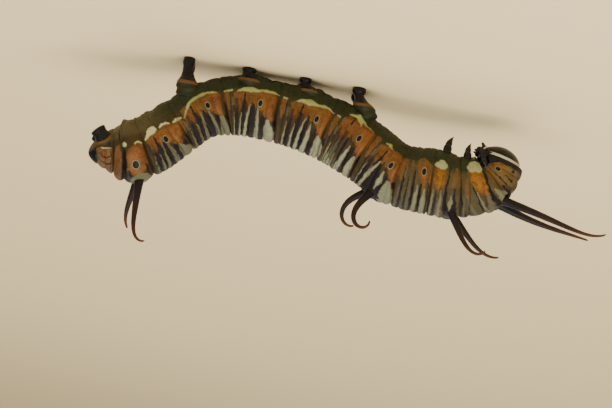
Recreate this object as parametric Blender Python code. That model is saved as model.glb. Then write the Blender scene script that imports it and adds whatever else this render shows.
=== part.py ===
"""Full-grown larva of the common crow butterfly, life size, standing on its middle prolegs.

The head points to -X, the animal's left side to -Y, and the floor is z = 0.
Lengths in the tables are millimetres and angles are degrees; meshes are in metres.
"""
import math

import bmesh
import bpy
import numpy as np
from mathutils import Vector

MM = 0.001
GAP = 0.3

# Trunk, from the tail to the head:
# name, length of its axis, rise of that axis towards the head, height at its front border, skin folds
TRUNK = (
    ("anal_segment", 2.66, -13.9, 4.88, 2),
    ("abdomen_9", 1.01, -9.2, 6.36, 1),
    ("abdomen_8", 2.18, -22.8, 6.47, 2),
    ("abdomen_7", 4.37, -41.1, 6.15, 5),
    ("abdomen_6", 5.41, -35.0, 6.31, 6),
    ("abdomen_5", 5.63, -4.2, 6.52, 6),
    ("abdomen_4", 5.61, 8.4, 6.85, 6),
    ("abdomen_3", 4.71, 21.2, 6.78, 5),
    ("abdomen_2", 4.22, 25.9, 6.68, 5),
    ("abdomen_1", 3.61, 2.2, 7.05, 4),
    ("thorax_3", 3.13, 0.5, 6.57, 3),
    ("thorax_2", 3.45, -20.4, 5.20, 2),
    ("thorax_1", 2.10, -66.2, 4.45, 1),
)
TAIL = (27.77, -1.72, 11.84)
TAIL_TAPER = 0.6
TAIL_START = 0.1
WIDTH_TO_HEIGHT = 0.98
SIDES = 24
FOLD_DEPTH = 0.1
CREASE_DEPTH = 0.12
CREASE_WIDTH = 0.5
CLEARANCE_STEP = 1.2
SHARP_ANGLE = 50

# Filaments: segment, place along it, angle above the side, length,
# lean towards the head from upright, bend, hook, sharpness of the hook, splay from the upright plane
FILAMENTS = {
    "thorax_2_left": ("thorax_2", 0.83, 66, 12.75, 79, -10, 54, 7.9, 8),
    "thorax_2_right": ("thorax_2", 0.83, 66, 11.2, 69, 25, -11, 3.5, 9),
    "thorax_3_left": ("thorax_3", 0.71, 58, 7.6, 25, 14, 129, 6.7, 9),
    "thorax_3_right": ("thorax_3", 0.71, 58, 8.0, 53, -25, 85, 3.5, 12),
    "abdomen_2_left": ("abdomen_2", 0.77, 72, 7.4, -37, -5, 240, 3.2, 12),
    "abdomen_2_right": ("abdomen_2", 0.77, 72, 7.0, -70, 23, 172, 2.8, 12),
    "abdomen_8_left": ("abdomen_8", 0.59, 66, 8.9, 2, 1, 123, 8.4, 9),
    "abdomen_8_right": ("abdomen_8", 0.59, 66, 7.8, -15, 0, 60, 5, 47.7),
}
FILAMENT_ROOT_DEPTH = 0.8
FILAMENT_BASE = 0.47
FILAMENT_TIP = 0.14
FILAMENT_TAPER = 1.3
FILAMENT_FLARE = 0.2
FILAMENT_FLARE_LENGTH = 0.06
FILAMENT_RINGS = 14
FILAMENT_SIDES = 8

# Prolegs: segment, place of the foot along X, reach of the leg above the floor, radius of its fleshy base,
# lean of the leg towards the head over its reach
PROLEGS = (
    ("abdomen_3", 0.64, 3.0, 1.25, 1.4),
    ("abdomen_4", 6.43, 2.2, 1.2, 1.0),
    ("abdomen_5", 12.51, 2.2, 1.3, 0.4),
    ("abdomen_6", 18.97, 4.4, 1.1, 0.5),
)
PROLEG_SPREAD = 1.6
# Height as a share of the visible leg, radius as a share of the base
PROLEG_PROFILE = (
    (0.0, 0.52), (0.05, 0.6), (0.17, 0.6), (0.24, 0.46), (0.45, 0.58), (0.58, 0.74), (0.65, 0.94), (1.0, 1.05),
)
PROLEG_WAIST = 0.24
PROLEG_ROOT_REACH = 0.4
PROLEG_SIDES = 12

# Anal prolegs: start inside the body and foot, on the left side, then radius at both
ANAL_PROLEG_START = (25.47, 1.05, 11.1)
ANAL_PROLEG_FOOT = (27.29, 1.35, 9.3)
ANAL_PROLEG_RADII = (0.85, 0.92, 0.95, 0.9, 0.74, 0.82, 0.72)

# True legs: segment, place along it, angle above the side, lean towards the head, outward slant,
# depth of the root, length, radius at the base
LEGS = (
    ("thorax_1", 0.2, -36, -36, 34, 0.5, 2.5, 0.34),
    ("thorax_2", 0.27, -62, -18, 12, 1.0, 2.8, 0.42),
    ("thorax_3", 0.36, -64, -8, 12, 1.0, 3.0, 0.45),
)
LEG_CURL = 45
LEG_INWARD = 30
LEG_TIP = 0.1
LEG_TAPER = 2.5
LEG_RINGS = 8
LEG_SIDES = 8

# Head capsule, seen along the axis of the first segment: forward, side and upright radii, and its drop
HEAD_RADII = (1.8, 2.2, 2.38)
HEAD_DROP = 0.45
HEAD_MESH = (24, 16)
MOUTH_SIZE = (0.62, 0.6, 0.5)
MOUTH_PLACE = (0.72, 0.0, -2.75)
MOUTH_MESH = (12, 8)
# Feelers beside the mouth, on the right side: root inside the head, tip, place of the joint, radii
ANTENNA_ROOT = (0.35, 1.0, -1.7)
ANTENNA_TIP = (1.35, 1.3, -2.9)
ANTENNA_JOINT = 0.6
ANTENNA_RADII = (0.27, 0.27, 0.2)

# Colours: linear RGB, roughness
FINISHES = {
    "trunk": ((0.36, 0.14, 0.03), 0.5),
    "proleg": ((0.02, 0.018, 0.015), 0.35),
    "leg": ((0.012, 0.012, 0.014), 0.25),
    "filament": ((0.03, 0.012, 0.012), 0.4),
    "head": ((0.01, 0.01, 0.012), 0.2),
    "mouthparts": ((0.05, 0.03, 0.02), 0.35),
}

for old in list(bpy.data.objects):
    bpy.data.objects.remove(old)
model = bpy.data.collections.new("crow_butterfly_larva")
cutters = bpy.data.collections.new("cutters")
for collection in (model, cutters):
    bpy.context.scene.collection.children.link(collection)


# Trunk axis
def border_places():
    """Distance along the axis, and point, of the tail tip and of each segment's front border."""
    points = [np.array((TAIL[0], TAIL[2]))]
    for _, length, rise, _, _ in TRUNK:
        rise = math.radians(rise)
        points.append(points[-1] + length * np.array((-math.cos(rise), math.sin(rise))))
    distances = np.concatenate(([0.0], np.cumsum([row[1] for row in TRUNK])))
    return distances, np.array(points)


DISTANCES, POINTS = border_places()
HEIGHTS = np.array([0.0] + [row[3] for row in TRUNK])
SEGMENT = {row[0]: index for index, row in enumerate(TRUNK)}


def smooth(values, s):
    """Value and slope at distance s of a smooth curve through a value at each border."""
    slopes = np.gradient(values, DISTANCES, axis=0, edge_order=2)
    k = int(np.clip(np.searchsorted(DISTANCES, s) - 1, 0, len(DISTANCES) - 2))
    span = DISTANCES[k + 1] - DISTANCES[k]
    f = (s - DISTANCES[k]) / span
    rise = values[k + 1] - values[k]
    a = span * slopes[k] - rise
    b = rise - span * slopes[k + 1]
    value = values[k] + f * rise + f * (1 - f) * (a * (1 - f) + b * f)
    slope = (rise + (1 - 2 * f) * (a * (1 - f) + b * f) + f * (1 - f) * (b - a)) / span
    return value, slope


def place(segment, share):
    """Distance along the axis of a place given by its segment and its share of that segment."""
    k = SEGMENT[segment]
    return DISTANCES[k] + share * (DISTANCES[k + 1] - DISTANCES[k])


def frame(s):
    """Centre, forward direction and back direction of the trunk at distance s."""
    point, slope = smooth(POINTS, s)
    forward = Vector((slope[0], 0, slope[1])).normalized()
    back = Vector((forward.z, 0, -forward.x))
    return Vector((point[0], TAIL[1], point[1])), forward, back


def height(s):
    if s < DISTANCES[1]:
        return HEIGHTS[1] * (s / DISTANCES[1]) ** TAIL_TAPER
    return smooth(HEIGHTS, s)[0]


def trunk_point(s, angle, extra=0.0, frame_at=None, shift=0.0):
    """Point on the trunk at an angle above its left side; extra moves it off the skin."""
    centre, forward, back = frame_at or frame(s)
    half = height(s) / 2
    across = (half * WIDTH_TO_HEIGHT + extra) * math.cos(math.radians(angle))
    up = (half + extra) * math.sin(math.radians(angle))
    return centre + forward * shift + Vector((0, -1, 0)) * across + back * up


def trunk_ring(s, extra=0.0, shift=0.0):
    angles = [360 * i / SIDES for i in range(SIDES)]
    here = frame(s)
    return [trunk_point(s, angle, extra, here, shift) for angle in angles]


def fold_depth(s, segment):
    """How far the skin lies below the crests of its folds at distance s."""
    k = SEGMENT[segment]
    share = (s - DISTANCES[k]) / (DISTANCES[k + 1] - DISTANCES[k])
    to_border = min(s - DISTANCES[k], DISTANCES[k + 1] - s)
    groove = FOLD_DEPTH * (1 + math.cos(2 * math.pi * TRUNK[k][4] * share)) / 2
    return groove + CREASE_DEPTH * math.exp(-(to_border / CREASE_WIDTH) ** 2)


# Meshes
def body_from(name, mesh, collection):
    """Object of a closed mesh in millimetres, its faces turned outwards."""
    if mesh.calc_volume(signed=True) < 0:
        bmesh.ops.reverse_faces(mesh, faces=mesh.faces)
    bmesh.ops.scale(mesh, vec=(MM, MM, MM), verts=mesh.verts)
    data = bpy.data.meshes.new(name)
    mesh.to_mesh(data)
    mesh.free()
    data.shade_smooth()
    data.set_sharp_from_angle(angle=math.radians(SHARP_ANGLE))
    body = bpy.data.objects.new(name, data)
    collection.objects.link(body)
    return body


def loft(name, rings, collection=model):
    """Closed body through rings of points, with flat ends."""
    mesh = bmesh.new()
    loops = [[mesh.verts.new(point) for point in ring] for ring in rings]
    count = len(loops[0])
    for low, high in zip(loops, loops[1:]):
        for i in range(count):
            j = (i + 1) % count
            mesh.faces.new((low[i], low[j], high[j], high[i]))
    mesh.faces.new(loops[0][::-1])
    mesh.faces.new(loops[-1])
    return body_from(name, mesh, collection)


def tube_rings(path, radii, sides, squash=1.0):
    """Rings of the given radii square to a path; squash flattens them fore and aft."""
    rings = []
    side = Vector((0, 1, 0))
    for i, point in enumerate(path):
        along = (path[min(i + 1, len(path) - 1)] - path[max(i - 1, 0)]).normalized()
        side = (side - along * side.dot(along)).normalized()
        other = along.cross(side)
        turns = [2 * math.pi * j / sides for j in range(sides)]
        rings.append([
            point + radii[i] * (math.cos(a) * side + squash * math.sin(a) * other) for a in turns
        ])
    return rings


def finish(body, kind):
    colour, roughness = FINISHES[kind]
    material = bpy.data.materials.new(body.name)
    material.use_nodes = True
    shader = material.node_tree.nodes["Principled BSDF"]
    shader.inputs["Base Color"].default_value = (*colour, 1)
    shader.inputs["Roughness"].default_value = roughness
    body.data.materials.append(material)


def as_cutter(body):
    body.hide_render = True
    body.display_type = "WIRE"
    return body


def cut(body, cutter):
    modifier = body.modifiers.new("clear_of_" + cutter.name, "BOOLEAN")
    modifier.operation = "DIFFERENCE"
    modifier.solver = "EXACT"
    modifier.object = cutter


# Trunk segments, parted by thin gaps at their borders
def add_segment(segment):
    k = SEGMENT[segment]
    steps = 2 * TRUNK[k][4]
    rings = []
    for i in range(steps + 1):
        s = DISTANCES[k] + (DISTANCES[k + 1] - DISTANCES[k]) * i / steps
        shift = 0.0
        if i == 0 and k > 0:
            shift = GAP / 2
        if i == steps and k < len(TRUNK) - 1:
            shift = -GAP / 2
        s = max(s, TAIL_START)
        rings.append(trunk_ring(s, -fold_depth(s, segment), shift))
    finish(loft(segment, rings), "trunk")


def add_trunk_cutter():
    """The whole trunk, larger by the gap, that keeps what grows from it clear."""
    rings = [trunk_ring(TAIL_START, GAP, -GAP)]
    for k, row in enumerate(TRUNK):
        steps = max(2, round(row[1] / CLEARANCE_STEP))
        start = max(DISTANCES[k], TAIL_START)
        rings += [trunk_ring(start + (DISTANCES[k + 1] - start) * i / steps, GAP) for i in range(steps)]
    rings.append(trunk_ring(DISTANCES[-1], GAP, GAP))
    return as_cutter(loft("trunk_clearance", rings, cutters))


# Filaments
def filament_path(segment, share, angle, length, lean, bend, hook, sharpness, splay, side):
    """Points of a filament whose lean grows along it, most of all at its tip."""
    point = trunk_point(place(segment, share), angle, -FILAMENT_ROOT_DEPTH)
    point.y = TAIL[1] + side * abs(point.y - TAIL[1])
    step = length / FILAMENT_RINGS
    path = [point.copy()]
    for i in range(FILAMENT_RINGS):
        f = (i + 0.5) / FILAMENT_RINGS
        turn = math.radians(lean + bend * f + hook * f ** sharpness)
        out = math.radians(splay)
        flat = math.cos(out)
        point += step * Vector((-math.sin(turn) * flat, side * math.sin(out), math.cos(turn) * flat))
        path.append(point.copy())
    return path


def filament_radius(f):
    shaft = FILAMENT_TIP + (FILAMENT_BASE - FILAMENT_TIP) * (1 - f ** FILAMENT_TAPER)
    return shaft + FILAMENT_FLARE * math.exp(-f / FILAMENT_FLARE_LENGTH)


def add_filament(name, row, cutter):
    side = -1 if name.endswith("left") else 1
    path = filament_path(*row, side)
    radii = [filament_radius(i / FILAMENT_RINGS) for i in range(FILAMENT_RINGS + 1)]
    body = loft("filament_" + name, tube_rings(path, radii, FILAMENT_SIDES))
    finish(body, "filament")
    cut(body, cutter)


# Legs
def add_proleg(segment, foot_x, reach, radius, lean, side, cutter):
    """A fleshy stump narrowing to a flat sole; it leans to the head and bends into its segment's middle."""
    middle = frame(place(segment, 0.5))[0]
    foot = Vector((foot_x, TAIL[1] + side * PROLEG_SPREAD, 0))
    path = []
    radii = []
    for level, share in PROLEG_PROFILE:
        leaning = lean * max(0, level - PROLEG_WAIST) / (1 - PROLEG_WAIST)
        path.append(foot + Vector((-leaning, 0, level * reach)))
        radii.append(share * radius)
    path.append(path[-1].lerp(middle, PROLEG_ROOT_REACH))
    path[-1].y = foot.y
    radii.append(radius)
    rings = tube_rings(path, radii, PROLEG_SIDES)
    for point in rings[0]:
        point.z = 0
    label = "left" if side < 0 else "right"
    body = loft("proleg_%s_%s" % (segment, label), rings)
    finish(body, "proleg")
    cut(body, cutter)


def add_anal_proleg(side, cutter):
    start = Vector((ANAL_PROLEG_START[0], TAIL[1] + side * ANAL_PROLEG_START[1], ANAL_PROLEG_START[2]))
    foot = Vector((ANAL_PROLEG_FOOT[0], TAIL[1] + side * ANAL_PROLEG_FOOT[1], ANAL_PROLEG_FOOT[2]))
    last = len(ANAL_PROLEG_RADII) - 1
    path = [start.lerp(foot, i / last) for i in range(last + 1)]
    label = "left" if side < 0 else "right"
    body = loft("anal_proleg_" + label, tube_rings(path, ANAL_PROLEG_RADII, PROLEG_SIDES))
    finish(body, "proleg")
    cut(body, cutter)


def add_leg(segment, share, angle, lean, slant, depth, length, radius, side, clearances):
    """A tapering true leg that curls in to a pointed claw."""
    point = trunk_point(place(segment, share), angle, -depth)
    point.y = TAIL[1] + side * abs(point.y - TAIL[1])
    step = length / LEG_RINGS
    path = [point.copy()]
    radii = [radius]
    for i in range(LEG_RINGS):
        f = (i + 1) / LEG_RINGS
        turn = math.radians(lean + LEG_CURL * f * f)
        out = math.radians(slant - LEG_INWARD * f)
        point += step * Vector((-math.sin(turn), side * math.sin(out), -math.cos(turn)))
        path.append(point.copy())
        radii.append(LEG_TIP + (radius - LEG_TIP) * (1 - f ** LEG_TAPER))
    label = "left" if side < 0 else "right"
    body = loft("leg_%s_%s" % (segment, label), tube_rings(path, radii, LEG_SIDES))
    finish(body, "leg")
    for cutter in clearances:
        cut(body, cutter)


# Head
def head_point(forward_by, side_by, up_by):
    """Point given forward, sideways and upright from the middle of the trunk's front border."""
    centre, forward, back = frame(DISTANCES[-1])
    return centre + forward * forward_by + Vector((0, side_by, 0)) + back * up_by


def ellipsoid(name, middle, radii, segments, rings, collection=model):
    """A rounded capsule whose long ways lie along the head's own directions."""
    mesh = bmesh.new()
    bmesh.ops.create_uvsphere(mesh, u_segments=segments, v_segments=rings, radius=1)
    for vertex in mesh.verts:
        forward_by, side_by, up_by = vertex.co
        vertex.co = head_point(
            middle[0] + forward_by * radii[0], middle[1] + side_by * radii[1], middle[2] + up_by * radii[2])
    return body_from(name, mesh, collection)


def add_head(trunk_cutter):
    middle = (0, 0, -HEAD_DROP)
    head = ellipsoid("head", middle, HEAD_RADII, *HEAD_MESH)
    finish(head, "head")
    cut(head, trunk_cutter)
    wider = tuple(radius + GAP for radius in HEAD_RADII)
    head_cutter = as_cutter(ellipsoid("head_clearance", middle, wider, *HEAD_MESH, cutters))
    mouth = ellipsoid("mouthparts", MOUTH_PLACE, MOUTH_SIZE, *MOUTH_MESH)
    finish(mouth, "mouthparts")
    cut(mouth, head_cutter)
    for label, side in (("left", -1), ("right", 1)):
        root = head_point(ANTENNA_ROOT[0], side * ANTENNA_ROOT[1], ANTENNA_ROOT[2])
        tip = head_point(ANTENNA_TIP[0], side * ANTENNA_TIP[1], ANTENNA_TIP[2])
        path = [root, root.lerp(tip, ANTENNA_JOINT), tip]
        antenna = loft("antenna_" + label, tube_rings(path, ANTENNA_RADII, LEG_SIDES))
        finish(antenna, "mouthparts")
        cut(antenna, head_cutter)
    return head_cutter


for row in TRUNK:
    add_segment(row[0])
trunk_clearance = add_trunk_cutter()
head_clearance = add_head(trunk_clearance)
for filament, row in FILAMENTS.items():
    add_filament(filament, row, trunk_clearance)
for side in (-1, 1):
    for row in PROLEGS:
        add_proleg(*row, side, trunk_clearance)
    add_anal_proleg(side, trunk_clearance)
    for row in LEGS:
        add_leg(*row, side, (trunk_clearance, head_clearance))
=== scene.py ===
"""Looks of the crow butterfly larva: one patterned skin, a glossy head, legs, prolegs and filaments.

Tables are in millimetres and degrees, in the frame of the solids; meshes are made in metres.
"""
import math

import bpy
import numpy as np
from mathutils import Matrix, Vector


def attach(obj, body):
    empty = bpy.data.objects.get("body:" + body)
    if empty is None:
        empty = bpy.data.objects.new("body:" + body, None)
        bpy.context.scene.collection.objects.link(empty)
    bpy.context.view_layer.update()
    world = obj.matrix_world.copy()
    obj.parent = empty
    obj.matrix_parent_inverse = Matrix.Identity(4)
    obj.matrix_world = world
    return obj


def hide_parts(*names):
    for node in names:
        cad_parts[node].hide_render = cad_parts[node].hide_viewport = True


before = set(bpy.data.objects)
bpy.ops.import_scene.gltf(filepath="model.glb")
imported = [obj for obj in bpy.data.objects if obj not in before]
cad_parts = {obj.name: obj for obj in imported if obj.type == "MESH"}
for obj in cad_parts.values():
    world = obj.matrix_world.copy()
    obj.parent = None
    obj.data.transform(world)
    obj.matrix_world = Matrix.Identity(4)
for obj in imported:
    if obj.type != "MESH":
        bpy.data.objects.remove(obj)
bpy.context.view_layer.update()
MM = 0.001
SIDEWAYS = np.array((0.0, 1.0, 0.0))
SIDE_NAMES = {-1: "left", 1: "right"}

# Trunk, tail to head: name, length of the axis, rise towards the head, height at the front border
TRUNK = (
    ("anal_segment", 2.66, -13.9, 4.88),
    ("abdomen_9", 1.01, -9.2, 6.36),
    ("abdomen_8", 2.18, -22.8, 6.47),
    ("abdomen_7", 4.37, -41.1, 6.15),
    ("abdomen_6", 5.41, -35.0, 6.31),
    ("abdomen_5", 5.63, -4.2, 6.52),
    ("abdomen_4", 5.61, 8.4, 6.85),
    ("abdomen_3", 4.71, 21.2, 6.78),
    ("abdomen_2", 4.22, 25.9, 6.68),
    ("abdomen_1", 3.61, 2.2, 7.05),
    ("thorax_3", 3.13, 0.5, 6.57),
    ("thorax_2", 3.45, -20.4, 5.20),
    ("thorax_1", 2.10, -66.2, 4.45),
)
TAIL = (27.77, -1.72, 11.84)
TAIL_TAPER = 0.6
TAIL_START = 0.02
WIDTH_TO_HEIGHT = 0.98
# Length of skin to a degree round the trunk
ARC = 0.056

# Filaments: segment, place along it, angle above the side, length, lean, bend, hook, sharpness, splay, girth
FILAMENTS = {
    "thorax_2_left": ("thorax_2", 0.83, 66, 12.75, 79, -10, 54, 7.9, 8, 1.0),
    "thorax_2_right": ("thorax_2", 0.83, 66, 11.2, 69, 25, -11, 3.5, 9, 1.0),
    "thorax_3_left": ("thorax_3", 0.71, 58, 7.6, 25, 14, 129, 6.7, 9, 0.88),
    "thorax_3_right": ("thorax_3", 0.71, 58, 8.0, 53, -25, 85, 3.5, 12, 0.88),
    "abdomen_2_left": ("abdomen_2", 0.77, 72, 7.4, -37, -5, 240, 3.2, 12, 0.95),
    "abdomen_2_right": ("abdomen_2", 0.77, 72, 7.0, -70, 23, 172, 2.8, 12, 0.95),
    "abdomen_8_left": ("abdomen_8", 0.59, 80, 8.65, 2, 1, 123, 8.4, 9, 1.0),
    "abdomen_8_right": ("abdomen_8", 0.59, 66, 7.8, -15, 0, 60, 5, 47.7, 1.0),
}
FILAMENT_DEPTH = 0.8
FILAMENT_RADIUS = 0.47
FILAMENT_TIP = 0.1
FILAMENT_TAPER = 1.25
FILAMENT_FLARE = 0.3
FLARE_LENGTH = 0.75

# Prolegs: segment, foot along X, reach, base radius, lean towards the head
PROLEGS = (
    ("abdomen_3", 0.64, 3.0, 1.25, 1.4),
    ("abdomen_4", 6.43, 2.2, 1.2, 1.0),
    ("abdomen_5", 12.51, 2.2, 1.3, 0.4),
    ("abdomen_6", 18.97, 4.4, 1.1, 0.5),
)
PROLEG_WAIST = 0.24
PROLEG_SPREAD = 1.6
# How high up a proleg its sole and its black shield end, its orange edge lies and its folds begin
SOLE_END = 0.3
SHIELD_END = 0.58
EDGE_LEVEL = 0.62
FOLD_LEVEL = 0.64
# Rise of shield and edge on the outer side, half width of the edge, height and closeness of the folds
EDGE_TILT = 0.04
EDGE_HALF = 0.2
PROLEG_FOLD = 0.05
PROLEG_FOLDS = 9
# The same for the anal prolegs, whose levels count from the top down
ANAL_SHIELD_START = 0.46
ANAL_EDGE_LEVEL = 0.4
ANAL_EDGE_TILT = 0.06
ANAL_EDGE_HALF = 0.07
ANAL_FOLD = 0.035
ANAL_FOLDS = 26
ANAL_PROLEG_START = (25.47, 1.05, 11.1)
ANAL_PROLEG_FOOT = (27.29, 1.35, 9.3)

# True legs: segment, place along it, angle, lean, outward slant, root depth, length, base radius
LEGS = (
    ("thorax_1", 0.2, -36, -36, 34, 0.5, 2.5, 0.34),
    ("thorax_2", 0.27, -62, -18, 12, 1.0, 2.8, 0.42),
    ("thorax_3", 0.36, -64, -8, 12, 1.0, 3.0, 0.45),
)
LEG_CURL = 45
LEG_INWARD = 30

HEAD_RADII = (1.8, 2.2, 2.38)
HEAD_DROP = 0.45

# Spiracles: distance along the axis, angle above the side, half length, half width
SPIRACLES = (
    (4.62, 39, 0.34, 0.21), (8.03, 17, 0.28, 0.18), (13.67, 0, 0.27, 0.17), (19.42, 3, 0.27, 0.17),
    (25.62, 4, 0.27, 0.17), (30.57, -2, 0.27, 0.17), (34.93, 3, 0.27, 0.17), (38.5, -3, 0.28, 0.17),
    (47.1, -4, 0.31, 0.18),
)

# Segments with the full pattern: place of its spiracle, length behind it, length ahead of it,
# shift of the pattern at -40, 0, 50 and 90 degrees, stripes left out
PATTERNED = {
    "abdomen_7": (8.03, 3.41, 5.64, (14, 14, 9, 0), ("cream",)),
    "abdomen_6": (13.67, 5.64, 5.75, (-3, -2, -3, 0), ("cream",)),
    "abdomen_5": (19.42, 5.75, 6.2, (0, 0, 0, 0), ()),
    "abdomen_4": (25.62, 6.2, 4.95, (0, 0, 0, 0), ("root", "wide")),
    "abdomen_3": (30.57, 4.95, 4.36, (-13, -4, -3, 0), ("pale", "root", "wide", "cream")),
    "abdomen_2": (34.93, 4.36, 3.57, (-6, -2, 0, 0), ("third", "root", "wide", "cream")),
}
# Stripes of that pattern, layer by layer: mark, then points (share of the length, angle, half width)
STRIPES = {
    "dark": (
        ("pale", (-0.46, 18, 0.1), (-0.44, 36, 0.3), (-0.44, 90, 0.32)),
        ("pale", (-0.28, 4, 0.1), (-0.28, 30, 0.5), (-0.28, 90, 0.55)),
        ("", (0.02, 24, 0.2), (0.0, 40, 0.6), (0.0, 90, 0.7)),
    ),
    "white": (
        ("pale", (-0.49, 26, 0.04), (-0.49, 55, 0.08), (-0.49, 90, 0.12)),
        ("pale", (-0.34, 26, 0.06), (-0.345, 45, 0.11), (-0.345, 90, 0.16)),
        ("pale third", (-0.17, 8, 0.05), (-0.2, 22, 0.12), (-0.215, 45, 0.18), (-0.225, 90, 0.23)),
        ("root", (-0.035, 10, 0.05), (-0.005, 32, 0.18), (0.015, 60, 0.23), (0.02, 90, 0.26)),
        ("wide", (0.175, 34, 0.22), (0.205, 48, 0.48), (0.245, 65, 0.6), (0.25, 90, 0.62)),
    ),
    "black": (
        ("pale", (-0.43, 14, 0.05), (-0.425, 32, 0.21), (-0.42, 90, 0.24)),
        ("pale", (-0.29, -6, 0.07), (-0.29, 15, 0.16), (-0.285, 35, 0.24), (-0.28, 90, 0.26)),
        ("root pale", (-0.12, 7, 0.06), (-0.12, 22, 0.3), (-0.115, 50, 0.38), (-0.12, 90, 0.36)),
        ("root", (0.075, 25, 0.1), (0.085, 33, 0.26), (0.1, 60, 0.3), (0.12, 90, 0.28)),
    ),
    "mark": (
        ("wide", (0.28, 34, 0.2), (0.31, 41, 0.18)),
        ("", (-0.29, -14, 0.04), (-0.29, -8, 0.1)),
        ("", (0.44, -10, 0.03), (0.45, 30, 0.04)),
    ),
    "orange": (
        ("", (0.02, -12, 0.35), (0.05, 8, 0.5)),
        ("", (0.19, -10, 0.45), (0.16, 20, 0.5), (0.22, 29, 0.25)),
        ("", (-0.38, -11, 0.2), (0.15, -13, 0.3)),
        ("", (-0.39, -10, 0.2), (-0.37, 5, 0.22), (-0.36, 24, 0.06)),
        ("", (-0.2, -10, 0.2), (-0.2, 3, 0.18), (-0.2, 17, 0.05)),
    ),
    "rust": (
        ("", (0.385, -13, 0.28), (0.39, 5, 0.3), (0.4, 20, 0.12)),
        ("", (-0.42, -8, 0.42), (-0.25, -8, 0.62), (0.1, -8, 0.7)),
        ("", (-0.1, -6, 0.5), (-0.07, 8, 0.28)),
        ("", (-0.48, -12, 0.1), (-0.48, 10, 0.06)),
    ),
    "cream": (
        ("cream", (-0.42, -16, 0.06), (-0.3, -20, 0.24), (-0.2, -21.5, 0.4), (-0.1, -20.5, 0.22),
         (-0.03, -20.5, 0.12), (0.06, -22.5, 0.19), (0.16, -22, 0.18), (0.28, -19.5, 0.07)),
        ("cream", (0.36, -18, 0.08), (0.42, -17.5, 0.08)),
    ),
    "grey": (
        ("", (0.48, 0, 0.1), (0.485, 13, 0.12)),
    ),
}
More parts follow.
